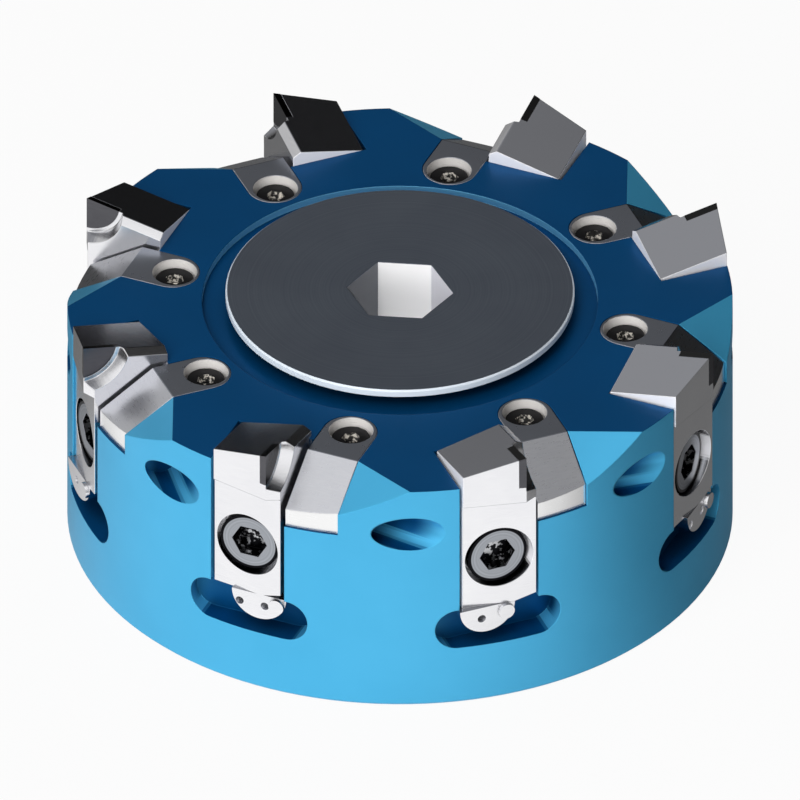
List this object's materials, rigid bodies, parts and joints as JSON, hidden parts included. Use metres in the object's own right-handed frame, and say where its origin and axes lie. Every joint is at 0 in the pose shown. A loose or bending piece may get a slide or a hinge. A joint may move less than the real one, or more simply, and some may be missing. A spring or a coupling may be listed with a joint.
{
  "type": "pcd face mill",
  "caption": "Right-hand face mill: blue anodised body with axially adjustable diamond-tipped cartridges, chip deflectors and a wide-flanged arbor screw.",
  "frame": {"origin": "centre of the back (mounting) face", "axes": "+Z along the cutter's axis towards the cutting face; the drive slot runs along Y; anticlockwise seen from +Z is the cutting direction"},
  "size_m": [0.122, 0.122, 0.0535],
  "materials": {
    "anodised_body": "blue anodised, satin",
    "dark_steel": "dark phosphated steel",
    "cartridge_steel": "ground tool steel",
    "diamond": "polycrystalline diamond, polished",
    "deflector_steel": "ground steel",
    "bright_steel": "bright ground steel",
    "screw_steel": "hardened screw steel"
  },
  "bodies": {
    "root": {"body": "anodised_body", "arbor_screw": "dark_steel", "cartridge_1": "cartridge_steel", "pcd_tip_1": "diamond", "chip_deflector_1": "deflector_steel", "adjuster_1": "bright_steel", "cartridge_2": "cartridge_steel", "pcd_tip_2": "diamond", "chip_deflector_2": "deflector_steel", "adjuster_2": "bright_steel", "cartridge_3": "cartridge_steel", "pcd_tip_3": "diamond", "chip_deflector_3": "deflector_steel", "adjuster_3": "bright_steel", "cartridge_4": "cartridge_steel", "pcd_tip_4": "diamond", "chip_deflector_4": "deflector_steel", "adjuster_4": "bright_steel", "cartridge_5": "cartridge_steel", "pcd_tip_5": "diamond", "chip_deflector_5": "deflector_steel", "adjuster_5": "bright_steel", "cartridge_6": "cartridge_steel", "pcd_tip_6": "diamond", "chip_deflector_6": "deflector_steel", "adjuster_6": "bright_steel", "cartridge_7": "cartridge_steel", "pcd_tip_7": "diamond", "chip_deflector_7": "deflector_steel", "adjuster_7": "bright_steel", "cartridge_8": "cartridge_steel", "pcd_tip_8": "diamond", "chip_deflector_8": "deflector_steel", "adjuster_8": "bright_steel", "cartridge_screws": "screw_steel", "deflector_screws": "screw_steel"}
  },
  "joints": []
}
